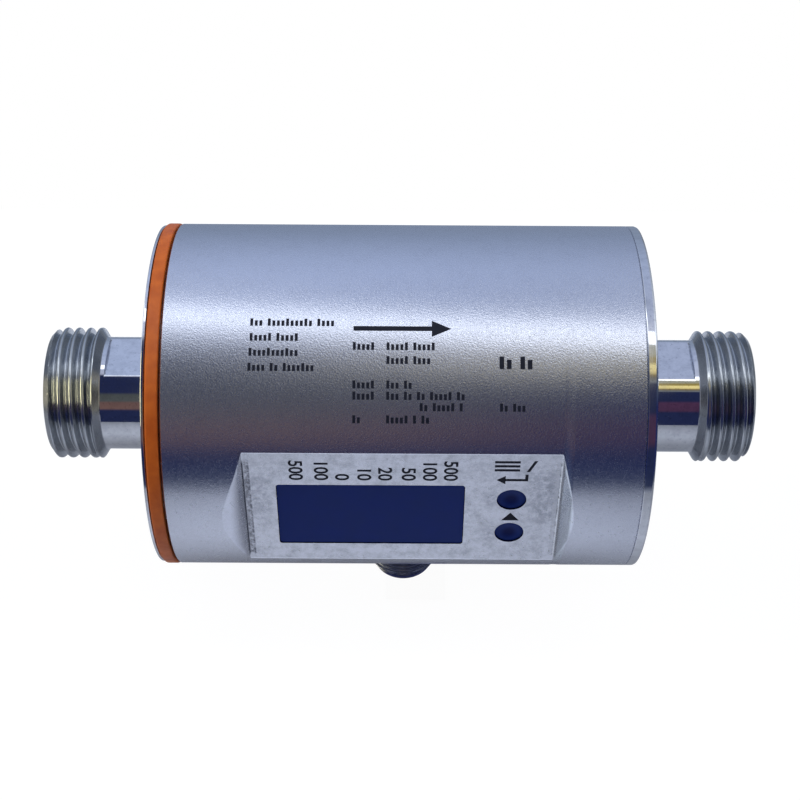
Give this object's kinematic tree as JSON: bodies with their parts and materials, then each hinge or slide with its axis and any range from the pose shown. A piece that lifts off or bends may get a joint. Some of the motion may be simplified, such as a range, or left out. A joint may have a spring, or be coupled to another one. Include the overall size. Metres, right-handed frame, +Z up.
{
  "type": "electromagnetic flow meter",
  "caption": "Compact inline electromagnetic flow meter: round steel housing with recessed display and push buttons, threaded pipe ends with wrench flats, coloured ring, plug connector.",
  "frame": {"origin": "centre of the flow bore, half-way between the two pipe ends", "axes": "+X along the flow from inlet to outlet, -Y the way the display looks, -Z the way the cable connector points, +Z up"},
  "size_m": [0.11, 0.054, 0.0674],
  "materials": {
    "blasted_steel": "bead-blasted stainless steel",
    "polished_steel": "polished stainless steel",
    "ring_plastic": "satin coloured plastic",
    "seal_rubber": "black rubber",
    "liner_plastic": "beige engineering plastic",
    "electrode_steel": "turned stainless steel",
    "soft_iron": "soft iron",
    "dark_plastic": "black plastic",
    "copper": "enamelled copper wire",
    "board_laminate": "green circuit board",
    "window_plastic": "dark tinted gloss plastic",
    "button_rubber": "dark satin rubber",
    "plated_brass": "nickel-plated brass",
    "gold_contacts": "gold-plated contacts",
    "lead_jacket": "insulated lead"
  },
  "bodies": {
    "meter": {"housing_shell": "blasted_steel", "inlet_fitting": "polished_steel", "outlet_fitting": "polished_steel", "accent_ring": "ring_plastic", "inlet_flange_seal": "seal_rubber", "outlet_flange_seal": "seal_rubber", "inlet_tube_seal": "seal_rubber", "outlet_tube_seal": "seal_rubber", "flow_tube": "liner_plastic", "front_electrode": "electrode_steel", "front_electrode_seal": "seal_rubber", "front_electrode_nut": "electrode_steel", "back_electrode": "electrode_steel", "back_electrode_seal": "seal_rubber", "back_electrode_nut": "electrode_steel", "upper_pole_core": "soft_iron", "upper_bobbin": "dark_plastic", "upper_coil": "copper", "lower_pole_core": "soft_iron", "lower_bobbin": "dark_plastic", "lower_coil": "copper", "yoke": "soft_iron", "inlet_board_bracket": "dark_plastic", "outlet_board_bracket": "dark_plastic", "main_board": "board_laminate", "board_header": "dark_plastic", "display_board": "board_laminate", "display_module": "dark_plastic", "display_window": "window_plastic", "window_gasket": "seal_rubber", "mode_switch": "dark_plastic", "set_switch": "dark_plastic", "connector_boss": "blasted_steel", "connector_sleeve": "plated_brass", "connector_seal": "seal_rubber", "connector_insert": "dark_plastic", "connector_pins": "gold_contacts", "connector_lock_nut": "plated_brass", "connector_lead": "lead_jacket", "back_electrode_lead": "lead_jacket", "upper_coil_lead": "lead_jacket", "lower_coil_lead": "lead_jacket"},
    "mode_button_unit": {"mode_button": "button_rubber", "mode_plunger": "dark_plastic"},
    "set_button_unit": {"set_button": "button_rubber", "set_plunger": "dark_plastic"}
  },
  "joints": [
    {"name": "mode_button_press", "type": "slide", "parent": "meter", "child": "mode_button_unit", "axis": [0, 1, 0], "range_m": [0, 0.0006], "stiffness_N_per_m": 4000},
    {"name": "set_button_press", "type": "slide", "parent": "meter", "child": "set_button_unit", "axis": [0, 1, 0], "range_m": [0, 0.0006], "stiffness_N_per_m": 4000}
  ]
}
